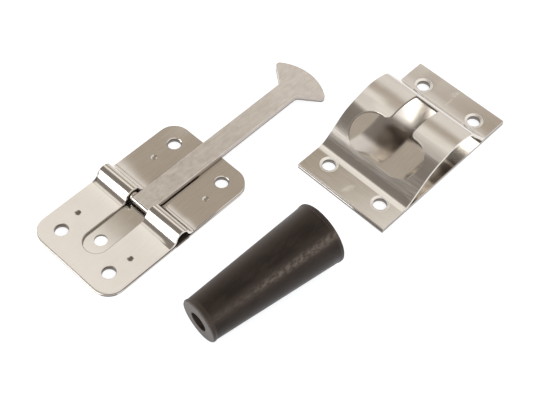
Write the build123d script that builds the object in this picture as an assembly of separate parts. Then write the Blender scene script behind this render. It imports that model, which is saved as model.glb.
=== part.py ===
from build123d import *
import math
import os

os.makedirs("parts", exist_ok=True)

# Door holder set, laid out as three loose pieces on one floor (z = 0), all lengths in mm.
# The origin is the middle of the hook plate's back face. X runs along the arm to its T head,
# Y across the plates, Z up from the floor.

# Both plate units share one sheet stock, one blank size and one screw pattern
SHEET_T = 1.2
PLATE_L = 76.2
PLATE_W = 44.45
HOLE_X = 59.0
HOLE_Y = 26.8
HOLE_R = 2.78
EDGE_R = 0.2
EDGE_BREAK = 0.15

# Hook unit: rounded plates, a half-round knuckle across the middle and a window for the arm
HOOK_CORNER_R = 7.5
TUNNEL_R = 2.6
KNUCKLE_T = 1.0
KNUCKLE_FOOT_R = 3.0
KNUCKLE_HEEL_R = 4.0
WINDOW_L = 57.8
WINDOW_W = 10.9
FIFTH_HOLE_R = 2.6
FIFTH_HOLE_X = -21.6
WELD_SPOTS = [(-19.9, 14.9), (-19.9, -14.7), (19.0, 14.0), (19.3, -14.9)]
WELD_R = 1.3
WELD_FLOOR_R = 0.75
WELD_DEPTH = 0.3

# Arm: one blank with a T head at one end and two round hinge ears at the other; it lies a
# little to one side of the window, inside its own side play
ARM_T = 2.4
EAR_CLEARANCE = 0.6
EAR_LENGTH = 5.8
ARM_SHIFT = -0.4
ROOT_W = 9.9
ROOT_BACK = 1.85
ROOT_NOSE_R = 1.1
ROOT_FRONT = 3.4
SHANK_W = 9.5
NECK_X = 80.9
NECK_R = 2.2
HEAD_CROWN_X = 94.0
HEAD_TIP = (88.35, 14.35)
HEAD_TIP_R = 1.75
ARM_EDGE_R = 0.4

# Socket unit: square plates, the front one arched; the line below is the top of the bent sheet
SOCKET_X = 95.45
SOCKET_Y = -50.7
FLANGE_TOP = 2 * SHEET_T
ARCH_LINE = [
    (-PLATE_L / 2, FLANGE_TOP),
    (-23.6, FLANGE_TOP),
    (-11.0, 13.7),
    (3.65, 18.2),
    (14.0, 15.65),
    (25.1, FLANGE_TOP),
    (PLATE_L / 2, FLANGE_TOP),
]
ARCH_BEND_R = [8.0, 22.0, 20.0, 9.0, 2.5]
COUNTERSINK_R = 3.6
COUNTERSINK_DEPTH = 0.5
OPENING_TILT = 16.0
OPENING_BOTTOM = -16.6
OPENING_W = 34.1
OPENING_H = 16.6
SLOT_W = 11.3
SLOT_END = 16.6
LIP_R = 2.2

# Bumper: a tapered rubber cone with a small rim at each end, lying on its side
BUMPER_L = 58.2
BUMPER_LARGE_R = 12.8
BUMPER_SMALL_R = 9.15
RIM_STEP = 0.2
SMALL_RIM_L = 1.2
LARGE_RIM_L = 1.6
RIM_EDGE = 0.4
COUNTERBORE_R = 4.1
COUNTERBORE_DEPTH = 38.0
SCREW_HOLE_R = 2.4
BUMPER_X = -23.4
BUMPER_Y = -54.8
BUMPER_TURN = -6.7


def screw_pattern():
    """The four screw hole centres that both plates of both units share."""
    return [(i * HOLE_X / 2, j * HOLE_Y / 2) for i in (-1, 1) for j in (-1, 1)]


def screw_holes():
    """Straight punches through all sheet at the four hole centres."""
    holes = [Location((x, y, 0)) * Cylinder(HOLE_R, 20) for x, y in screw_pattern()]
    return Compound(children=holes)


def on_blank_edge(point, corner_r):
    """True where a point lies on the outside of the plate blank."""
    past_x = abs(point.X) - PLATE_L / 2 + corner_r
    past_y = abs(point.Y) - PLATE_W / 2 + corner_r
    if corner_r and past_x > 0 and past_y > 0:
        return abs(math.hypot(past_x, past_y) - corner_r) < 0.02
    return abs(past_x - corner_r) < 0.02 or abs(past_y - corner_r) < 0.02


def break_outline(sheet, corner_r, lowest):
    """Takes the sharp corner off a sheet's outside edges above a height, as tumbling does."""
    edges = [
        e
        for e in sheet.edges()
        if all(on_blank_edge(e.position_at(t), corner_r) for t in (0, 0.5, 1))
        and abs(e.tangent_at(0.5).Z) < 0.99
        and e.position_at(0.5).Z > lowest
    ]
    return chamfer(ShapeList(edges), EDGE_BREAK)


# Hinge axis: the ears turn in the tunnel, and the arm lies flat on the plate at half its thickness
HINGE_Z = 2 * SHEET_T + ARM_T / 2
EAR_R = TUNNEL_R - EAR_CLEARANCE


def tangent_foot(circle_r, foot_r, flat_z):
    """Centre height, reach and touching point of a foot arc between the flat and the half round."""
    centre_z = flat_z + foot_r
    reach = math.sqrt((circle_r + foot_r) ** 2 - (centre_z - HINGE_Z) ** 2)
    share = circle_r / (circle_r + foot_r)
    return reach, centre_z, (reach * share, HINGE_Z + (centre_z - HINGE_Z) * share)


def foot_arc(reach, centre_z, foot_r, touch, side):
    """The foot arc on one side, from the half round to the flat."""
    start = math.atan2(touch[1] - centre_z, touch[0] - reach)
    if start > 0:
        start -= 2 * math.pi
    middle = (start - math.pi / 2) / 2
    points = [touch, (reach + foot_r * math.cos(middle), centre_z + foot_r * math.sin(middle))]
    points.append((reach, centre_z - foot_r))
    return [(side * x, z) for x, z in points]


def knuckle_section():
    """Front sheet seen from its end: flat, up over the hinge tunnel in a half round, flat again."""
    outer_r = TUNNEL_R + KNUCKLE_T
    top = tangent_foot(outer_r, KNUCKLE_FOOT_R, 2 * SHEET_T)
    under = tangent_foot(TUNNEL_R, KNUCKLE_HEEL_R, SHEET_T)
    end = PLATE_L / 2
    with BuildSketch(Plane.XZ) as section:
        with BuildLine():
            for (reach, centre_z, touch), foot_r, circle_r, flat_z in (
                (top, KNUCKLE_FOOT_R, outer_r, 2 * SHEET_T),
                (under, KNUCKLE_HEEL_R, TUNNEL_R, SHEET_T),
            ):
                for side in (-1, 1):
                    ThreePointArc(*foot_arc(reach, centre_z, foot_r, touch, side))
                    Line((side * reach, flat_z), (side * end, flat_z))
                left, right = (-touch[0], touch[1]), touch
                ThreePointArc(left, (0, HINGE_Z + circle_r), right)
            for side in (-1, 1):
                Line((side * end, SHEET_T), (side * end, 2 * SHEET_T))
        make_face()
    return section.sketch


def weld_dimple(x, y, surface_z, radius, depth):
    """Shallow round dent with a flat floor, left by a spot weld, as the plug to take away."""
    floor_r = radius * WELD_FLOOR_R / WELD_R
    return Location((x, y, surface_z - depth / 2)) * Cone(floor_r, radius, depth)


def on_window_edge(point):
    """True where a point lies on the outline of the window."""
    past = max(abs(point.X) - (WINDOW_L - WINDOW_W) / 2, 0)
    return abs(math.hypot(past, point.Y) - WINDOW_W / 2) < 0.02


def make_hook_front_plate():
    """Formed front sheet of the hook plate, with window, screw holes and spot weld dimples."""
    sheet = extrude(knuckle_section(), amount=PLATE_W / 2, both=True)
    blank = extrude(RectangleRounded(PLATE_L, PLATE_W, HOOK_CORNER_R), amount=20)
    sheet = sheet & blank
    window = extrude(SlotOverall(WINDOW_L, WINDOW_W), amount=20)
    sheet = sheet - window - screw_holes()
    for x, y in WELD_SPOTS:
        sheet = sheet - weld_dimple(x, y, 2 * SHEET_T, WELD_R, WELD_DEPTH)
    rims = sheet.edges().filter_by(GeomType.CIRCLE)
    rims = rims.filter_by(lambda e: abs(e.radius - HOLE_R) < 0.01 and abs(e.center().Z - 2 * SHEET_T) < 0.01)
    sheet = chamfer(rims, EDGE_R)
    sides = sheet.edges().filter_by(
        lambda e: abs(e.position_at(0.5).Z - 2 * SHEET_T) < 0.01
        and all(on_window_edge(e.position_at(t)) for t in (0, 0.5, 1))
    )
    return break_outline(chamfer(sides, EDGE_BREAK), HOOK_CORNER_R, 0)


def make_hook_back_plate():
    """Flat back sheet of the hook plate, with a fifth hole under the window."""
    sheet = extrude(RectangleRounded(PLATE_L, PLATE_W, HOOK_CORNER_R), amount=SHEET_T)
    fifth = Location((FIFTH_HOLE_X, 0, 0)) * Cylinder(FIFTH_HOLE_R, 20)
    return break_outline(sheet - screw_holes() - fifth, HOOK_CORNER_R, SHEET_T / 2)


def arm_outline():
    """Flat blank of the arm from above: root, shank, neck and the rounded T head."""
    root_half = ROOT_W / 2
    shank_half = SHANK_W / 2
    tip_x, tip_y = HEAD_TIP
    with BuildSketch() as blank:
        with BuildLine():
            Polyline(
                (tip_x, tip_y),
                (NECK_X, shank_half),
                (ROOT_FRONT, shank_half),
                (ROOT_FRONT, root_half),
                (-ROOT_BACK, root_half),
                (-ROOT_BACK, -root_half),
                (ROOT_FRONT, -root_half),
                (ROOT_FRONT, -shank_half),
                (NECK_X, -shank_half),
                (tip_x, -tip_y),
            )
            ThreePointArc((tip_x, -tip_y), (HEAD_CROWN_X, 0), (tip_x, tip_y))
        make_face()
        for side in (-1, 1):
            tip = Vertex(tip_x, side * tip_y, 0)
            fillet(blank.vertices().sort_by_distance(tip)[0], HEAD_TIP_R)
            neck = Vertex(NECK_X, side * shank_half, 0)
            fillet(blank.vertices().sort_by_distance(neck)[0], NECK_R)
    return blank.sketch


def make_hook_arm():
    """T-headed arm lying flat on the front plate, with its two coined hinge ears."""
    arm = extrude(arm_outline(), amount=ARM_T)
    arm = fillet(arm.faces().sort_by(Axis.Z)[-1].edges().sort_by(Axis.X)[0], ROOT_NOSE_R)
    rest = arm.faces().sort_by(Axis.Z)[-1].edges()
    arm = fillet(rest.filter_by(lambda e: e.center().X > ROOT_NOSE_R - ROOT_BACK + 0.01), ARM_EDGE_R)
    arm = Location((0, ARM_SHIFT, 2 * SHEET_T)) * arm
    root_half = ROOT_W / 2
    ear_span = 2 * (root_half + EAR_LENGTH)
    ears = Location((0, ARM_SHIFT, HINGE_Z)) * Rot(90, 0, 0) * Cylinder(EAR_R, ear_span)
    inner = Box(4 * EAR_R, 2 * root_half, 4 * EAR_R)
    ears = ears - Location((0, ARM_SHIFT, HINGE_Z)) * inner
    return arm + ears


def inset_line(points, depth):
    """The same bent line moved down by one sheet thickness, corner by corner."""
    moved = []
    for k, (x, z) in enumerate(points):
        before = points[max(k - 1, 0)]
        after = points[min(k + 1, len(points) - 1)]
        angle_in = math.atan2(z - before[1], x - before[0]) if k else 0.0
        angle_out = math.atan2(after[1] - z, after[0] - x) if k < len(points) - 1 else 0.0
        mean = (angle_in + angle_out) / 2
        reach = depth / math.cos((angle_out - angle_in) / 2)
        moved.append((x + reach * math.sin(mean), z - reach * math.cos(mean)))
    return moved


def arch_section():
    """Bent front sheet of the socket seen from its end, one sheet thick all along."""
    top = ARCH_LINE
    under = inset_line(ARCH_LINE, SHEET_T)
    with BuildSketch(Plane.XZ) as section:
        with BuildLine():
            Polyline(*top, *reversed(under), close=True)
        make_face()
        for k, bend_r in enumerate(ARCH_BEND_R):
            step = SHEET_T if k in (0, len(ARCH_BEND_R) - 1) else -SHEET_T
            for line, radius in ((top, bend_r), (under, bend_r + step)):
                corner = Vertex(line[k + 1][0], line[k + 1][1], 0)
                fillet(section.vertices().sort_by_distance(corner)[0], radius)
    return section.sketch


def opening_outline():
    """T opening as punched: a wide obround for the head and a slot for the shank."""
    with BuildSketch() as cut:
        with Locations((OPENING_BOTTOM + OPENING_H / 2, 0)):
            SlotOverall(OPENING_W, OPENING_H, rotation=90)
        with Locations((SLOT_END / 2 - OPENING_H / 4, 0)):
            Rectangle(SLOT_END + OPENING_H / 2, SLOT_W)
        for side in (-1, 1):
            lip = Vertex(OPENING_BOTTOM + OPENING_H, side * SLOT_W / 2, 0)
            fillet(cut.vertices().sort_by_distance(lip)[0], LIP_R)
    return cut.sketch


def make_socket_front():
    """Arched front sheet with the T opening and four countersunk holes."""
    sheet = extrude(arch_section(), amount=PLATE_W / 2, both=True)
    tilt = math.radians(OPENING_TILT)
    punch = Plane(
        origin=(0, 0, 0),
        x_dir=(math.cos(tilt), 0, math.sin(tilt)),
        z_dir=(-math.sin(tilt), 0, math.cos(tilt)),
    )
    plain = sheet
    sheet = plain - extrude(punch * opening_outline(), amount=40, dir=punch.z_dir)
    line = opening_outline().faces()[0].outer_wire()

    def on_upper_rim(edge):
        """An edge of the opening with sheet below it and none above."""
        middle = edge.position_at(0.5)
        flat = punch.to_local_coords(middle)
        near = line.distance_to(Vector(flat.X, flat.Y, 0)) < 0.02
        up = punch.z_dir * 0.1
        return near and plain.is_inside(middle - up) and not plain.is_inside(middle + up)

    sheet = chamfer(sheet.edges().filter_by(on_upper_rim), EDGE_BREAK)
    sheet = sheet - screw_holes()
    for x, y in screw_pattern():
        sink = Cone(HOLE_R, COUNTERSINK_R, COUNTERSINK_DEPTH)
        sheet = sheet - Location((x, y, FLANGE_TOP - COUNTERSINK_DEPTH / 2)) * sink
    return break_outline(sheet, 0, 0)


def make_socket_back_plate():
    """Flat back sheet that closes the arch from behind."""
    sheet = Location((0, 0, SHEET_T / 2)) * Box(PLATE_L, PLATE_W, SHEET_T)
    return break_outline(sheet - screw_holes(), 0, SHEET_T / 2)


def make_bumper():
    """Tapered rubber bumper with a counterbored screw hole, lying on its two rims."""
    body_small = BUMPER_SMALL_R - RIM_STEP
    body_large = BUMPER_LARGE_R - RIM_STEP
    with BuildSketch(Plane.XZ) as half:
        with BuildLine():
            Polyline(
                (COUNTERBORE_R, 0),
                (BUMPER_SMALL_R - RIM_EDGE, 0),
                (BUMPER_SMALL_R, RIM_EDGE),
                (BUMPER_SMALL_R, SMALL_RIM_L),
                (body_small, SMALL_RIM_L + 2 * RIM_STEP),
                (body_large, BUMPER_L - LARGE_RIM_L - RIM_STEP),
                (BUMPER_LARGE_R, BUMPER_L - LARGE_RIM_L),
                (BUMPER_LARGE_R, BUMPER_L - RIM_EDGE),
                (BUMPER_LARGE_R - RIM_EDGE, BUMPER_L),
                (SCREW_HOLE_R, BUMPER_L),
                (SCREW_HOLE_R, COUNTERBORE_DEPTH),
                (COUNTERBORE_R, COUNTERBORE_DEPTH),
                close=True,
            )
        make_face()
    cone = revolve(half.sketch, Axis.Z)
    first = RIM_EDGE
    last = BUMPER_L - LARGE_RIM_L
    lean = math.atan2(BUMPER_LARGE_R - BUMPER_SMALL_R, last - first)
    height = BUMPER_SMALL_R * math.cos(lean) - first * math.sin(lean)
    turn = math.radians(BUMPER_TURN)
    axis_dir = (math.cos(turn) * math.cos(lean), math.sin(turn) * math.cos(lean), math.sin(lean))
    rest = Plane(
        origin=(BUMPER_X, BUMPER_Y, height),
        x_dir=(-math.sin(turn), math.cos(turn), 0),
        z_dir=axis_dir,
    )
    return rest.location * cone


socket_place = Location((SOCKET_X, SOCKET_Y, 0))
pieces = {
    "hook_front_plate": make_hook_front_plate(),
    "hook_back_plate": make_hook_back_plate(),
    "hook_arm": make_hook_arm(),
    "socket_front": socket_place * make_socket_front(),
    "socket_back_plate": socket_place * make_socket_back_plate(),
    "rubber_bumper": make_bumper(),
}
for name, shape in pieces.items():
    export_step(shape, f"parts/{name}.step")
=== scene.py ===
import math

import bpy
from mathutils import Matrix, Vector

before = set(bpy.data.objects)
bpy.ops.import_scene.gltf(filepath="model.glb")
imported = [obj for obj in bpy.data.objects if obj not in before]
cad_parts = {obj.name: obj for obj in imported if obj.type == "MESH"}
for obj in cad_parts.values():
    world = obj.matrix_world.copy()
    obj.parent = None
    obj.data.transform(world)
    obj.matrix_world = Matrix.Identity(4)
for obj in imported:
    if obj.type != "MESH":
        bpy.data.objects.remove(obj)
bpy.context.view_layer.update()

# ---- Hook plate, front sheet ----
# The visible sheet of the hook unit: 1.2 mm stainless, blanked with a window and four screw holes,
# then pressed up into a half-round knuckle across the middle. The press leaves the two wings
# sloping a little away from the knuckle, and four spot welds hold it to the sheet behind.
MM = 0.001


def feed(tree, socket, value):
    """Links an output to a socket, or writes a plain number, vector or colour on it."""
    if isinstance(value, bpy.types.NodeSocket):
        tree.links.new(value, socket)
    else:
        socket.default_value = value


def math_node(tree, operation, first, second=0.0, third=0.0):
    node = tree.nodes.new("ShaderNodeMath")
    node.operation = operation
    for socket, value in zip(node.inputs, (first, second, third)):
        feed(tree, socket, value)
    return node.outputs[0]


def times(tree, *values):
    product = values[0]
    for value in values[1:]:
        product = math_node(tree, "MULTIPLY", product, value)
    return product


def plus(tree, *values):
    total = values[0]
    for value in values[1:]:
        total = math_node(tree, "ADD", total, value)
    return total


def minus(tree, first, second):
    return math_node(tree, "SUBTRACT", first, second)


def size_of(tree, value):
    """A value without its sign."""
    return math_node(tree, "ABSOLUTE", value)


def beyond(tree, value, limit):
    """How far a value is past a limit, and 0 before it."""
    return math_node(tree, "MAXIMUM", minus(tree, value, limit), 0.0)


def diagonal(tree, first, second):
    """Distance from a point that is first away one way and second the other way."""
    squares = plus(tree, times(tree, first, first), times(tree, second, second))
    return math_node(tree, "SQRT", squares)


def step_between(tree, value, low, high, to_low=0.0, to_high=1.0):
    """Smooth ramp of a value, from to_low at low to to_high at high."""
    node = tree.nodes.new("ShaderNodeMapRange")
    node.interpolation_type = "SMOOTHSTEP"
    for socket, number in zip(node.inputs, (value, low, high, to_low, to_high)):
        feed(tree, socket, number)
    return node.outputs[0]


def band(tree, value, rise, fall):
    """1 between two soft edges, 0 outside them."""
    return times(tree, step_between(tree, value, *rise), step_between(tree, value, *fall))


def place_in_mm(tree):
    """Where a point lies in the shared frame, in millimetres."""
    coords = tree.nodes.new("ShaderNodeTexCoord")
    node = tree.nodes.new("ShaderNodeVectorMath")
    node.operation = "SCALE"
    tree.links.new(coords.outputs["Object"], node.inputs[0])
    node.inputs["Scale"].default_value = 1 / MM
    return node.outputs["Vector"]


def axes(tree, vector):
    """The X, Y and Z of a vector."""
    split = tree.nodes.new("ShaderNodeSeparateXYZ")
    tree.links.new(vector, split.inputs[0])
    return split.outputs["X"], split.outputs["Y"], split.outputs["Z"]


def facing(tree):
    """The X, Y and Z of the direction that the surface faces."""
    coords = tree.nodes.new("ShaderNodeTexCoord")
    return axes(tree, coords.outputs["Normal"])


def from_point(tree, place, point):
    """Distance of a place from a point, in millimetres."""
    node = tree.nodes.new("ShaderNodeVectorMath")
    node.operation = "DISTANCE"
    tree.links.new(place, node.inputs[0])
    node.inputs[1].default_value = point
    return node.outputs["Value"]


def noise(tree, place, scale, size=(1, 1, 1), detail=3.0, roughness=0.5, turn=0.0):
    """Grey noise from 0 to 1; scale is in patches per millimetre, size stretches them."""
    mapping = tree.nodes.new("ShaderNodeMapping")
    mapping.inputs["Rotation"].default_value = (0, 0, turn)
    mapping.inputs["Scale"].default_value = [scale / s for s in size]
    tree.links.new(place, mapping.inputs["Vector"])
    node = tree.nodes.new("ShaderNodeTexNoise")
    node.inputs["Scale"].default_value = 1.0
    node.inputs["Detail"].default_value = detail
    node.inputs["Roughness"].default_value = roughness
    tree.links.new(mapping.outputs["Vector"], node.inputs["Vector"])
    return node.outputs["Fac"]


def mix_color(tree, amount, first, second):
    node = tree.nodes.new("ShaderNodeMix")
    node.data_type = "RGBA"
    feed(tree, node.inputs["Factor"], amount)
    feed(tree, node.inputs["A"], (*first, 1) if isinstance(first, tuple) else first)
    feed(tree, node.inputs["B"], (*second, 1) if isinstance(second, tuple) else second)
    return node.outputs["Result"]


def mix_number(tree, amount, first, second):
    node = tree.nodes.new("ShaderNodeMix")
    factor, _, low, high = node.inputs[:4]
    for socket, value in ((factor, amount), (low, first), (high, second)):
        feed(tree, socket, value)
    return node.outputs["Result"]


def new_material(name):
    material = bpy.data.materials.new(name)
    material.use_nodes = True
    return material


def shader_of(tree):
    return tree.nodes["Principled BSDF"]


def put(tree, name, value):
    """Feeds a socket of the finish."""
    tree.links.new(value, shader_of(tree).inputs[name])


def under(tree, name):
    """What already feeds a socket of the finish."""
    links = shader_of(tree).inputs[name].links
    return links[0].from_socket if links else None


def bend(tree, height, distance=1.0):
    """Shades the surface as if it had this height in millimetres times distance."""
    node = tree.nodes.new("ShaderNodeBump")
    node.inputs["Strength"].default_value = 1.0
    node.inputs["Distance"].default_value = distance * MM
    tree.links.new(height, node.inputs["Height"])
    if under(tree, "Normal"):
        tree.links.new(under(tree, "Normal"), node.inputs["Normal"])
    put(tree, "Normal", node.outputs["Normal"])


def rub(tree, amount, rough):
    """Puts a roughness over what the finish has, by an amount from 0 to 1."""
    put(tree, "Roughness", mix_number(tree, amount, under(tree, "Roughness"), rough))


def lay_over(tree, amount, finish):
    """Puts a colour and a roughness over what the finish has, by an amount from 0 to 1."""
    color, rough = finish
    put(tree, "Base Color", mix_color(tree, amount, under(tree, "Base Color"), color))
    rub(tree, amount, rough)


def make_steel(name, along="x", dark=(0.72, 0.675, 0.62), light=(0.77, 0.725, 0.67), rough=0.13,
               rough_spread=0.04, cloud_slope=0.02, grain_height=0.0006):
    """Rolled stainless sheet: warm grey, slow clouds over it and fine lines along one axis."""
    clouds_per_mm, lines_per_mm, stretch = 0.11, 1.6, 14
    steel = new_material(name)
    tree = steel.node_tree
    place = place_in_mm(tree)
    long_way = {"x": (stretch, 1, 1), "y": (1, stretch, 1)}[along]
    clouds = noise(tree, place, clouds_per_mm, detail=2.5, roughness=0.55)
    lines = noise(tree, place, lines_per_mm, size=long_way, roughness=0.65)
    shade = plus(tree, times(tree, lines, 0.6), times(tree, clouds, 0.4))
    put(tree, "Base Color", mix_color(tree, step_between(tree, shade, 0.3, 0.7), dark, light))
    put(tree, "Roughness", step_between(tree, lines, 0.3, 0.75, rough, rough + rough_spread))
    shader_of(tree).inputs["Metallic"].default_value = 1.0
    bend(tree, clouds, cloud_slope)
    bend(tree, lines, grain_height)
    return steel


def sheared_wall(tree):
    """1 on the upright walls that the blanking die leaves, 0 on the faces."""
    return step_between(tree, size_of(tree, facing(tree)[2]), 0.2, 0.1)


def sag_away(tree, out, slope, foot_slope, reach):
    """Height that falls away from a fold: steep at first, then at a steady slope."""
    fall = math_node(tree, "EXPONENT", math_node(tree, "DIVIDE", out, times(tree, reach, -1.0)))
    fall = times(tree, minus(tree, fall, 1.0), reach, foot_slope)
    return minus(tree, fall, times(tree, out, slope))


def dress(name, material):
    """Gives a CAD node its finish."""
    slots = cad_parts[name].data.materials
    slots.clear()
    slots.append(material)


# How the press bends the bright sheet: lengths in mm, slopes in mm per mm.
FOOT_X = 6.2
ENDS_Y = (-22, 22)
LEFT_SLOPE, LEFT_FOOT_SLOPE, LEFT_REACH = 0.06, 0.13, (3.2, 2.1)
RIGHT_SLOPE, RIGHT_FOOT_SLOPE, RIGHT_REACH = (0.05, 0.085), 0.20, (2.2, 3.6)
STEEPER_Y = (8, 22)
LEFT_CURL = 0.00015
WALL_TOP_Z, WALL_BLEND, WALL_LEAN = 4.95, 0.7, -0.34
CREST_X, CREST_CURVE, CREST_TWIST, CREST_TILT = 3.0, 0.0175, -0.0036, 0.27
FLARE_X, FLARE_Y, FLARE_HEIGHT = (-6.8, -5.0), (-15.0, -21.0), 0.25

hook_front_steel = make_steel("hook_front_steel")
tree = hook_front_steel.node_tree
place = place_in_mm(tree)
x, y, z = axes(tree, place)
left_out = beyond(tree, -FOOT_X, x)
right_out = beyond(tree, x, FOOT_X)
left_sag = sag_away(tree, left_out, LEFT_SLOPE, LEFT_FOOT_SLOPE,
                    step_between(tree, y, *ENDS_Y, *LEFT_REACH))
left_curl = times(tree, left_out, left_out, LEFT_CURL)
right_sag = sag_away(tree, right_out, step_between(tree, y, *STEEPER_Y, *RIGHT_SLOPE),
                     RIGHT_FOOT_SLOPE, step_between(tree, y, *ENDS_Y, *RIGHT_REACH))
down_wall = minus(tree, math_node(tree, "SMOOTH_MIN", z, WALL_TOP_Z, WALL_BLEND), WALL_TOP_Z)
left_wall = times(tree, down_wall, WALL_LEAN, math_node(tree, "LESS_THAN", x, 0.0))
on_crest = math_node(tree, "MINIMUM", math_node(tree, "MAXIMUM", x, -CREST_X), CREST_X)
crest_slope = plus(tree, times(tree, on_crest, CREST_CURVE), times(tree, y, CREST_TWIST),
                   CREST_TILT)
crest = times(tree, on_crest, crest_slope)
near_flare = times(tree, step_between(tree, y, *FLARE_Y), step_between(tree, x, *FLARE_X),
                   FLARE_HEIGHT)
bend(tree, plus(tree, left_sag, left_curl, right_sag, left_wall, crest, near_flare))

# The knuckle's left wall is rubbed by the press; its far end is painted dark as shade in the
# barrel's end.
WALL_RISE, WALL_FALL, WALL_ROUGH = (-6.6, -5.6), (-1.6, -2.4), 0.21
BARREL_END_Y, BARREL_END_SHADE = (20.6, 22.0), ((0.2, 0.185, 0.17), 0.3)
on_wall = band(tree, x, WALL_RISE, WALL_FALL)
rub(tree, on_wall, WALL_ROUGH)
lay_over(tree, times(tree, on_wall, step_between(tree, y, *BARREL_END_Y)), BARREL_END_SHADE)

# Sheared edges are painted dark in their lower, torn part, which ends lower down in the window:
# partly the torn zone's own rough finish, partly painted shade along the seam between the sheets.
TORN_AND_SHADE = ((0.15, 0.125, 0.105), 0.4)
TORN_TOP_Z, TORN_EDGE, WINDOW_Y, WINDOW_DROP = 2.0, 0.15, 7.0, 0.25
in_window = math_node(tree, "LESS_THAN", size_of(tree, y), WINDOW_Y)
torn_top = minus(tree, TORN_TOP_Z, times(tree, in_window, WINDOW_DROP))
torn_and_shade = step_between(tree, minus(tree, z, torn_top), TORN_EDGE, -TORN_EDGE)
lay_over(tree, times(tree, sheared_wall(tree), torn_and_shade), TORN_AND_SHADE)

# The hinge tunnel inside the knuckle is bare steel, painted dark as the shade inside it.
HINGE_Z, TUNNEL_R = 3.6, 2.6
TUNNEL_SHADE = ((0.20, 0.165, 0.14), 0.5)
from_axis = diagonal(tree, x, minus(tree, z, HINGE_Z))
lay_over(tree, step_between(tree, from_axis, TUNNEL_R + 0.3, TUNNEL_R + 0.15), TUNNEL_SHADE)

# Burnt, ragged rims of the four weld pits, stronger on the left wing.
WELDS = [(-19.9, 14.9), (-19.9, -14.7), (19.0, 14.0), (19.3, -14.9)]
WELD_Z, WING_GAP = 2.2, (-5.0, 5.0)
BURNT_R, BURNT_FADE, BURNT_AMOUNT, RAGGED = (1.45, 1.15), (0.2, -0.3), (0.9, 0.45), 0.9
BURNT = ((0.11, 0.09, 0.075), 0.4)
weld = 100.0
for spot in WELDS:
    weld = math_node(tree, "MINIMUM", from_point(tree, place, (*spot, WELD_Z)), weld)
ragged = times(tree, noise(tree, place, 1.5), RAGGED)
burnt_r = step_between(tree, x, *WING_GAP, *BURNT_R)
burnt = step_between(tree, minus(tree, plus(tree, weld, ragged), burnt_r), *BURNT_FADE)
lay_over(tree, times(tree, burnt, step_between(tree, x, *WING_GAP, *BURNT_AMOUNT)), BURNT)

# A thin dark line is painted round the window, away from the knuckle, as the shade along its cut
# edge.
WINDOW_HALF_L, WINDOW_HALF_W = 28.9, 5.45
EDGE_SHADE_OUT, EDGE_SHADE_X, EDGE_SHADE_AMOUNT = (5.80, 5.62), (8.0, 12.0), 0.75
WINDOW_EDGE_SHADE = ((0.30, 0.265, 0.235), 0.4)
past_end = beyond(tree, size_of(tree, x), WINDOW_HALF_L - WINDOW_HALF_W)
edge_shade_line = times(tree, step_between(tree, diagonal(tree, past_end, y), *EDGE_SHADE_OUT),
             step_between(tree, size_of(tree, x), *EDGE_SHADE_X))
lay_over(tree, times(tree, edge_shade_line, EDGE_SHADE_AMOUNT), WINDOW_EDGE_SHADE)
dress("hook_front_plate", hook_front_steel)

# ---- Hook plate, back sheet ----
# The flat sheet behind it, the same 1.2 mm stainless blank and hole pattern plus one middle hole.
# It shows through the window, where it bows a little, and as the lower half of the plate's edge;
# the spot welds hold it to the front sheet.
BOW_MIDDLE, BOW = -10, 0.0016
RIM_X, RIM_Y = 37.5, 21.8
RIM_AMOUNT, HOLE_AMOUNT = 0.4, 0.5
UNDER_KNUCKLE_X, UNDER_KNUCKLE_Y = (3.6, 3.2), (5.4, 5.8)

hook_back_steel = make_steel("hook_back_steel", rough=0.12)
tree = hook_back_steel.node_tree
x, y, _ = axes(tree, place_in_mm(tree))
off_middle = minus(tree, x, BOW_MIDDLE)
bend(tree, times(tree, off_middle, off_middle, -BOW))

# Its sheared edges are painted dark, partly for their torn finish and partly as painted shade,
# which is darker in the holes than on the outer rim.
in_hole = times(tree, math_node(tree, "LESS_THAN", size_of(tree, x), RIM_X),
                math_node(tree, "LESS_THAN", size_of(tree, y), RIM_Y))
torn_and_shade = plus(tree, times(tree, in_hole, HOLE_AMOUNT), RIM_AMOUNT)
lay_over(tree, times(tree, sheared_wall(tree), torn_and_shade), TORN_AND_SHADE)

# The strips under the knuckle's two barrels are painted dark, as the shade under them.
lay_over(tree, times(tree, step_between(tree, size_of(tree, x), *UNDER_KNUCKLE_X),
                     step_between(tree, size_of(tree, y), *UNDER_KNUCKLE_Y)), TUNNEL_SHADE)
dress("hook_back_plate", hook_back_steel)

# ---- Arm ----
# One 2.4 mm stainless blank with a T head, tumbled so its edges are round and its face satin,
# brushed along its length. Its two round ears turn in the knuckle.
MOTTLE = ((0.60, 0.55, 0.51), 0.33)
MOTTLE_RANGE, MOTTLE_X, MOTTLE_AMOUNT = (0.34, 0.74), (25.0, 60.0), (0.75, 0.45)
MOTTLE_HEIGHT = 0.03
BOW_START_X, ARM_BOW = 20.0, 0.0009
EDGE_FACING, EDGE_X, SIDE_SHADE_AMOUNT = (0.80, 0.25), (3.0, 5.0), 0.9
SIDE_SHADE, LOW_SIDE_SHADE = ((0.47, 0.42, 0.375), 0.42), ((0.20, 0.172, 0.148), 0.42)
BELOW_Z = (3.5, 2.8)
NOSE_X, NOSE_HIGHLIGHT = (-1.0, -1.3), ((0.9, 0.87, 0.83), 0.12)

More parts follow.
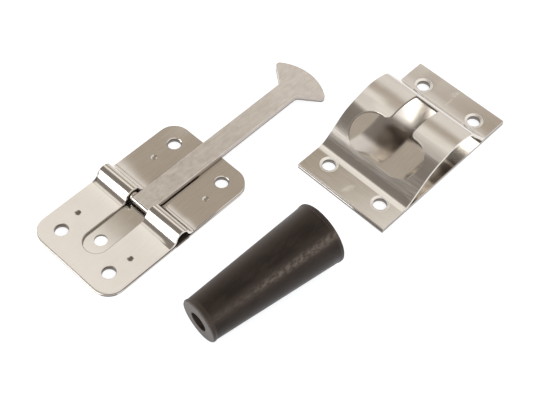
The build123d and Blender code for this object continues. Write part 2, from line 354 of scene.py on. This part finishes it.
arm_steel = make_steel("arm_steel", dark=(0.745, 0.695, 0.65), light=(0.86, 0.81, 0.765),
                       rough=0.27, rough_spread=0.08, cloud_slope=0.01, grain_height=0.003)
tree = arm_steel.node_tree
place = place_in_mm(tree)
x, _, z = axes(tree, place)
mottle = noise(tree, place, 0.45, size=(1.6, 1, 1), detail=5.0, roughness=0.6)
lay_over(tree, times(tree, step_between(tree, mottle, *MOTTLE_RANGE),
                     step_between(tree, x, *MOTTLE_X, *MOTTLE_AMOUNT)), MOTTLE)
bend(tree, mottle, MOTTLE_HEIGHT)
ahead = beyond(tree, x, BOW_START_X)
bend(tree, times(tree, ahead, ahead), ARM_BOW)
# The sides and rounded edges of the arm are painted darker as shade, darkest low down next to the
# plate.
side_shade = times(tree, step_between(tree, facing(tree)[2], *EDGE_FACING),
             step_between(tree, x, *EDGE_X), SIDE_SHADE_AMOUNT)
lay_over(tree, side_shade, SIDE_SHADE)
lay_over(tree, times(tree, side_shade, step_between(tree, z, *BELOW_Z)), LOW_SIDE_SHADE)
# The root end of the arm is painted pale as a highlight on its rounded nose, and made smoother.
lay_over(tree, step_between(tree, x, *NOSE_X), NOSE_HIGHLIGHT)
dress("hook_arm", arm_steel)

# ---- Socket plate, arched front sheet ----
# Square-cornered 1.2 mm stainless sheet with a T opening, bent into an arch: flange, ramp, crown,
# steep flank, flange. The bends leave it uneven. Its screw holes are countersunk, and a spot weld
# on each flange, which holds it to the flat sheet, leaves a pale smear.
SOCKET_MIDDLE = (95.45, -50.7)

# How the bends shade the sheet, from left to right: x and y from the socket's middle in mm.
LEFT_BEND_X, LEFT_LIFT, LEFT_TWIST = -25.5, 0.080, -0.0014
NEAR_Y = (17.0, -18.0)
RIDGE_X, RIDGE_FAR, RIDGE_NEAR_ADD = (-20.8, -15.6), 0.22, -0.17
SHOULDER_X, SHOULDER_FAR, SHOULDER_NEAR_ADD = (-9.5, -1.5), 0.08, 0.17
CROWN_X, CROWN_NEAR = (-0.5, 8.5), 0.36
DIP_X, DIP_Y, DIP = (-6.0, 3.0), (17.5, 9.0), -0.5
FLANK_X, FLANK_RISE = (8.0, 28.0), (0.0, 2.0)
FACES_DOWN = (-0.1, -0.2)
RIGHT_BEND_X, SAG, SAG_TWIST, SAG_FOOT, SAG_REACH = 26.2, 0.025, 0.0012, 0.14, 1.6
RIGHT_CURL = -0.001

socket_front_steel = make_steel("socket_front_steel", along="y")
tree = socket_front_steel.node_tree
place = place_in_mm(tree)
x, y, z = axes(tree, place)
x = minus(tree, x, SOCKET_MIDDLE[0])
y = minus(tree, y, SOCKET_MIDDLE[1])
near = step_between(tree, y, *NEAR_Y)
left_flange = math_node(tree, "MINIMUM", math_node(tree, "ADD", x, -LEFT_BEND_X), 0.0)
left_lift = times(tree, left_flange, plus(tree, times(tree, y, LEFT_TWIST), LEFT_LIFT))
right_out = beyond(tree, x, RIGHT_BEND_X)
right_sag = sag_away(tree, right_out, plus(tree, times(tree, y, SAG_TWIST), SAG), SAG_FOOT,
                     SAG_REACH)
right_curl = times(tree, right_out, right_out, RIGHT_CURL)
ridge = times(tree, step_between(tree, x, *RIDGE_X),
              plus(tree, times(tree, near, RIDGE_NEAR_ADD), RIDGE_FAR))
shoulder = times(tree, step_between(tree, x, *SHOULDER_X),
                 plus(tree, times(tree, near, SHOULDER_NEAR_ADD), SHOULDER_FAR))
crown = times(tree, step_between(tree, x, *CROWN_X), near, CROWN_NEAR)
corner_dip = times(tree, step_between(tree, x, *DIP_X), step_between(tree, y, *DIP_Y), DIP,
                   math_node(tree, "GREATER_THAN", y, 0.0))
flank = step_between(tree, x, *FLANK_X, *FLANK_RISE)
normal_x, normal_y, normal_z = facing(tree)
underside = step_between(tree, normal_z, *FACES_DOWN)
on_arch = times(tree, plus(tree, ridge, shoulder, crown, corner_dip), minus(tree, 1.0, underside))
bend(tree, plus(tree, on_arch, left_lift, right_sag, right_curl, flank))

# The crown is rubbed satin.
CROWN_RISE, CROWN_FALL, CROWN_ROUGH = (-8.0, -3.0), (13.0, 7.0), 0.27
rub(tree, band(tree, x, CROWN_RISE, CROWN_FALL), CROWN_ROUGH)

# The countersinks are painted pale, as a highlight ring round each screw hole.
SCREW_HOLE = (29.5, 13.4)
RING_R, COUNTERSINK_HIGHLIGHT = (3.95, 3.75), ((0.97, 0.94, 0.90), 0.42)
from_hole = diagonal(tree, minus(tree, size_of(tree, x), SCREW_HOLE[0]),
                     minus(tree, size_of(tree, y), SCREW_HOLE[1]))
lay_over(tree, step_between(tree, from_hole, *RING_R), COUNTERSINK_HIGHLIGHT)

# Smears of the two spot welds: middle x and y, half length, half width, amount.
SMEARS = [(-33.0, 0.2, 5.2, 1.9, 0.5), (34.8, 0.9, 4.2, 1.5, 0.8)]
SMEAR_SKEW, SMEAR_TURN = 0.9, 0.45
SMEAR = ((0.93, 0.90, 0.85), 0.4)
for smear_x, smear_y, half_l, half_w, amount in SMEARS:
    along = plus(tree, x, times(tree, y, -SMEAR_SKEW), SMEAR_SKEW * smear_y - smear_x)
    across = plus(tree, y, times(tree, x, SMEAR_TURN), -SMEAR_TURN * smear_x - smear_y)
    smear = diagonal(tree, math_node(tree, "DIVIDE", along, half_l),
                     math_node(tree, "DIVIDE", across, half_w))
    wisps = noise(tree, place, 0.8, size=(1.5, 1, 1))
    lay_over(tree, times(tree, step_between(tree, smear, 1.0, 0.2),
                         step_between(tree, wisps, 0.30, 0.60), amount), SMEAR)

# Painted shade: a dark line on the left rim, a darker band on the flank, and the torn part of the
# sheared edges, which is partly their own rough finish.
RIM_LEFT_X, LEFT_RIM_SHADE = (-37.85, -37.95), ((0.45, 0.41, 0.37), 0.45)
FLANK_BAND_RISE, FLANK_BAND_FALL, FLANK_AMOUNT = (10.5, 15.0), (26.0, 23.0), 0.55
FLANK_SHADE = ((0.56, 0.52, 0.475), 0.16)
TORN_Z = (2.15, 1.85)
lay_over(tree, step_between(tree, x, *RIM_LEFT_X), LEFT_RIM_SHADE)
flank_shade_band = band(tree, x, FLANK_BAND_RISE, FLANK_BAND_FALL)
lay_over(tree, times(tree, flank_shade_band, FLANK_AMOUNT), FLANK_SHADE)
lay_over(tree, times(tree, sheared_wall(tree), step_between(tree, z, *TORN_Z)), TORN_AND_SHADE)

# The hollow of the arch is painted: darker underneath as shade, darkest as shade on both sides of
# the shank slot, and pale under the flank as painted light.
UNDERSIDE_SHADE = ((0.68, 0.64, 0.59), 0.26)
BY_SLOT_SHADE = ((0.17, 0.142, 0.122), 0.22)
BY_SLOT_RISE, BY_SLOT_FALL, BY_SLOT_AMOUNT = (0.0, 4.0), (17.5, 14.5), 0.9
SLOT_FAR_Y, SLOT_NEAR_Y = (-4.0, 0.0), (-12.0, -15.0)
UNDER_FLANK_X, UNDER_FLANK_LIGHT = (15.0, 18.0), ((0.88, 0.855, 0.82), 0.14)
lay_over(tree, underside, UNDERSIDE_SHADE)
beside_slot = math_node(tree, "MAXIMUM", step_between(tree, y, *SLOT_FAR_Y),
                        step_between(tree, y, *SLOT_NEAR_Y))
by_slot_shade = times(tree, band(tree, x, BY_SLOT_RISE, BY_SLOT_FALL), beside_slot)
lay_over(tree, times(tree, underside, by_slot_shade, BY_SLOT_AMOUNT), BY_SLOT_SHADE)
lay_over(tree, times(tree, underside, step_between(tree, x, *UNDER_FLANK_X)), UNDER_FLANK_LIGHT)

# The cut wall round the T opening, high up on the arch and inside the plate's long edges, is
# painted dark as shade.
CUT_WALL_SHADE, CUT_AMOUNT = ((0.30, 0.265, 0.235), 0.45), 0.85
FACES_X, FACES_Y = (0.84, 0.90), (0.1, 0.3)
ARCH_Z, LONG_EDGE_Y = (4.0, 6.0), 21.5
cut_wall = math_node(tree, "MAXIMUM", step_between(tree, size_of(tree, normal_y), *FACES_Y),
                     step_between(tree, size_of(tree, normal_x), *FACES_X))
inside = times(tree, step_between(tree, z, *ARCH_Z),
               math_node(tree, "LESS_THAN", size_of(tree, y), LONG_EDGE_Y))
lay_over(tree, times(tree, cut_wall, inside, CUT_AMOUNT), CUT_WALL_SHADE)
dress("socket_front", socket_front_steel)

# ---- Socket plate, back sheet ----
# The flat, square-cornered sheet under the arch: 1.2 mm stainless with the same four screw holes,
# polished nearly to a mirror. It is spot welded to the arched sheet and lies against the wall.
EDGE_DARK_AMOUNT = 0.85

socket_back_steel = make_steel("socket_back_steel", dark=(0.76, 0.73, 0.69),
                               light=(0.83, 0.80, 0.76), rough=0.09, cloud_slope=0.008)
tree = socket_back_steel.node_tree
# Its sheared edges are painted dark: partly their torn finish, partly painted shade.
lay_over(tree, times(tree, sheared_wall(tree), EDGE_DARK_AMOUNT), TORN_AND_SHADE)
dress("socket_back_plate", socket_back_steel)

# ---- Rubber bumper ----
# A tapered black rubber cone moulded in one piece, with a small rim at each end and a hole for a
# screw. The skin is dull and blotched with mould release. A painted sheen, streaked like scuffs,
# runs along it; its back side and small end are painted lighter as lit, and its rims are paler.
BUMPER_AT = (-23.4, -54.8, 9.15)
BUMPER_TURN = math.radians(-6.7)
BUMPER_TAPER = 0.0627
GRAIN_TURN = 0.12
RUBBER_DARK, RUBBER_LIGHT = (0.0105, 0.0068, 0.0054), (0.024, 0.0170, 0.0138)
RUBBER_SHEEN, RUBBER_SHEEN_TINT = 0.26, (1.0, 0.88, 0.79, 1)
SPECK_HEIGHT = 0.06

# Painted sheen and marks on the skin: angles round the axis in radians, places along it in mm from
# the small end.
MARK_ROUGH = 0.42
SHEEN_LINE_ANGLE, SCUFF_SHEEN_WIDTH, SCUFF_SHEEN_COLOR = -0.715, (0.22, 0.0), (0.165, 0.140, 0.122)
SCUFF_SHEEN_ALONG, SCUFF_SHEEN_AMOUNT = (8.0, 34.0), (0.25, 1.0)
PAINTED_SHEEN_WIDTH, PAINTED_SHEEN_AMOUNT, PAINTED_SHEEN_COLOR = (0.42, 0.02), 0.70, (0.062, 0.048, 0.041)
BACK_SHEEN_ANGLE, BACK_SHEEN_AMOUNT, BACK_SHEEN_COLOR = (-0.15, 0.9), 0.75, (0.078, 0.060, 0.051)
SMALL_RIM, LARGE_RIM = (2.2, 1.7), (55.8, 56.4)
PALE_RIM_AMOUNT, RIM_COLOR = 0.5, (0.070, 0.055, 0.047)
SMALL_END, LIT_END_COLOR = (0.25, 0.10), (0.080, 0.068, 0.058)

bumper_rubber = new_material("bumper_rubber")
tree = bumper_rubber.node_tree
place = place_in_mm(tree)
x, y, z = axes(tree, place)
x = minus(tree, x, BUMPER_AT[0])
y = minus(tree, y, BUMPER_AT[1])
along = plus(tree, times(tree, x, math.cos(BUMPER_TURN)), times(tree, y, math.sin(BUMPER_TURN)))
across = plus(tree, times(tree, x, -math.sin(BUMPER_TURN)), times(tree, y, math.cos(BUMPER_TURN)))
above = minus(tree, minus(tree, z, BUMPER_AT[2]), times(tree, along, BUMPER_TAPER))
around = math_node(tree, "ARCTAN2", across, above)
blotches = noise(tree, place, 0.28, size=(2.5, 1, 1), detail=5.0, roughness=0.62, turn=GRAIN_TURN)
streaks = noise(tree, place, 0.8, size=(1.6, 1, 1), detail=5.0, roughness=0.7, turn=GRAIN_TURN)
specks = noise(tree, place, 1.4, roughness=0.7)
put(tree, "Base Color", mix_color(tree, step_between(tree, blotches, 0.38, 0.68),
                                  RUBBER_DARK, RUBBER_LIGHT))
put(tree, "Roughness", step_between(tree, blotches, 0.35, 0.65, 0.32, 0.44))
off_line = size_of(tree, minus(tree, around, SHEEN_LINE_ANGLE))
# The sheen along the skin is painted: a broad pale band, and scuff streaks on it that are partly
# real.
painted_sheen = times(tree, step_between(tree, off_line, *PAINTED_SHEEN_WIDTH), PAINTED_SHEEN_AMOUNT)
scuff_and_sheen = times(tree, step_between(tree, off_line, *SCUFF_SHEEN_WIDTH),
              step_between(tree, streaks, 0.34, 0.66),
              step_between(tree, along, *SCUFF_SHEEN_ALONG, *SCUFF_SHEEN_AMOUNT))
# The back side is painted lighter, as a grazing sheen.
back_sheen = times(tree, step_between(tree, around, *BACK_SHEEN_ANGLE), BACK_SHEEN_AMOUNT)
# Both end rims are paler.
rims = plus(tree, step_between(tree, along, *SMALL_RIM), step_between(tree, along, *LARGE_RIM))
pale_rims = times(tree, rims, PALE_RIM_AMOUNT)
# The small end face is painted lighter, as lit.
lit_end_face = step_between(tree, along, *SMALL_END)
for amount, color in ((painted_sheen, PAINTED_SHEEN_COLOR), (back_sheen, BACK_SHEEN_COLOR), (pale_rims, RIM_COLOR),
                      (scuff_and_sheen, SCUFF_SHEEN_COLOR), (lit_end_face, LIT_END_COLOR)):
    lay_over(tree, amount, (color, MARK_ROUGH))
shader_of(tree).inputs["Specular IOR Level"].default_value = RUBBER_SHEEN
shader_of(tree).inputs["Specular Tint"].default_value = RUBBER_SHEEN_TINT
bend(tree, specks, SPECK_HEIGHT)
dress("rubber_bumper", bumper_rubber)

# ---- Floor ----
# A white matt paper top, under everything. It only has to hold the shadows, so the camera and the
# bright steel see it as plain white.
FLOOR_SIZE, FLOOR_AT = 4, (0.05, 0, 0)
PAPER, PAPER_GLOW = (0.62, 0.66, 0.73, 1), 0.74

bpy.ops.object.select_all(action="DESELECT")
bpy.ops.mesh.primitive_plane_add(size=FLOOR_SIZE, location=FLOOR_AT)
floor = bpy.context.object
floor.name = "floor"
floor_paper = new_material("floor_paper")
tree = floor_paper.node_tree
matt = shader_of(tree)
matt.inputs["Base Color"].default_value = PAPER
matt.inputs["Roughness"].default_value = 1.0
matt.inputs["Specular IOR Level"].default_value = 0.0
glow = tree.nodes.new("ShaderNodeEmission")
rays = tree.nodes.new("ShaderNodeLightPath")
seen = math_node(tree, "MAXIMUM", rays.outputs["Is Camera Ray"],
                 math_node(tree, "MAXIMUM", rays.outputs["Is Glossy Ray"],
                           rays.outputs["Is Transmission Ray"]))
tree.links.new(times(tree, seen, PAPER_GLOW), glow.inputs["Strength"])
both = tree.nodes.new("ShaderNodeAddShader")
tree.links.new(matt.outputs["BSDF"], both.inputs[0])
tree.links.new(glow.outputs["Emission"], both.inputs[1])
tree.links.new(both.outputs["Shader"], tree.nodes["Material Output"].inputs["Surface"])
floor.data.materials.append(floor_paper)

# ---- Studio ----
# A light tent, which the steel mirrors as soft strips across the plates (along Y). TENT goes in
# degrees from the +X horizon over the top to the -X horizon: light wall, tan wall, softbox, dark
# gap, bright softbox. On the camera's side the tent is plain.
TENT = [
    (0, (0.93, 0.91, 0.88)), (40, (0.90, 0.87, 0.84)), (50, (0.48, 0.425, 0.36)),
    (67, (0.46, 0.41, 0.345)), (73, (1.00, 0.98, 0.94)), (89, (1.16, 1.14, 1.09)),
    (97, (0.27, 0.245, 0.225)), (146, (0.24, 0.22, 0.20)),
    (151, (3.6, 3.6, 3.6)), (174, (3.9, 3.9, 3.9)), (180, (2.2, 2.2, 2.2)),
]
CAMERA_SIDE, CAMERA_SIDE_Y = (0.92, 0.89, 0.85), (-0.35, 0.05)

world = bpy.data.worlds.new("light_tent")
bpy.context.scene.world = world
world.use_nodes = True
tree = world.node_tree
sky = tree.nodes["Background"]
coords = tree.nodes.new("ShaderNodeTexCoord")
x, y, z = axes(tree, coords.outputs["Generated"])
over = math_node(tree, "DIVIDE", math_node(tree, "ARCTAN2", z, x), math.pi)
strips = tree.nodes.new("ShaderNodeValToRGB")
tree.links.new(over, strips.inputs["Fac"])
while len(strips.color_ramp.elements) < len(TENT):
    strips.color_ramp.elements.new(1.0)
for element, (degrees, color) in zip(strips.color_ramp.elements, TENT):
    element.position = degrees / 180
    element.color = (*color, 1)
tent = mix_color(tree, step_between(tree, y, *CAMERA_SIDE_Y), CAMERA_SIDE, strips.outputs["Color"])
tree.links.new(tent, sky.inputs["Color"])
sky.inputs["Strength"].default_value = 1.0

# ---- Camera ----
# A long lens that looks down at the set from the corner of the hook plate, rolled a little. Its
# place was fitted to the corners and holes of the plates.
FOCAL_PIXELS = 1220.433
IMAGE_WIDTH = 540
SENSOR_WIDTH = 36
DISTANCE = 0.476152
AZIMUTH = math.radians(-48.998)
ELEVATION = math.radians(54.684)
ROLL = math.radians(3.445)
TARGET = Vector((0.037096, -0.032532, 0))

backward = Vector((math.sin(AZIMUTH) * math.cos(ELEVATION),
                   -math.cos(AZIMUTH) * math.cos(ELEVATION), math.sin(ELEVATION)))
level = Vector((math.cos(AZIMUTH), math.sin(AZIMUTH), 0))
upward = backward.cross(level)
right = level * math.cos(ROLL) + upward * math.sin(ROLL)
top = upward * math.cos(ROLL) - level * math.sin(ROLL)
camera_data = bpy.data.cameras.new("camera")
camera_data.lens = SENSOR_WIDTH * FOCAL_PIXELS / IMAGE_WIDTH
camera_data.clip_start = 0.01
camera = bpy.data.objects.new("camera", camera_data)
bpy.context.scene.collection.objects.link(camera)
camera.matrix_world = (Matrix.Translation(TARGET + backward * DISTANCE)
                       @ Matrix((right, top, backward)).transposed().to_4x4())
bpy.context.scene.camera = camera
bpy.context.scene.view_settings.view_transform = "Standard"
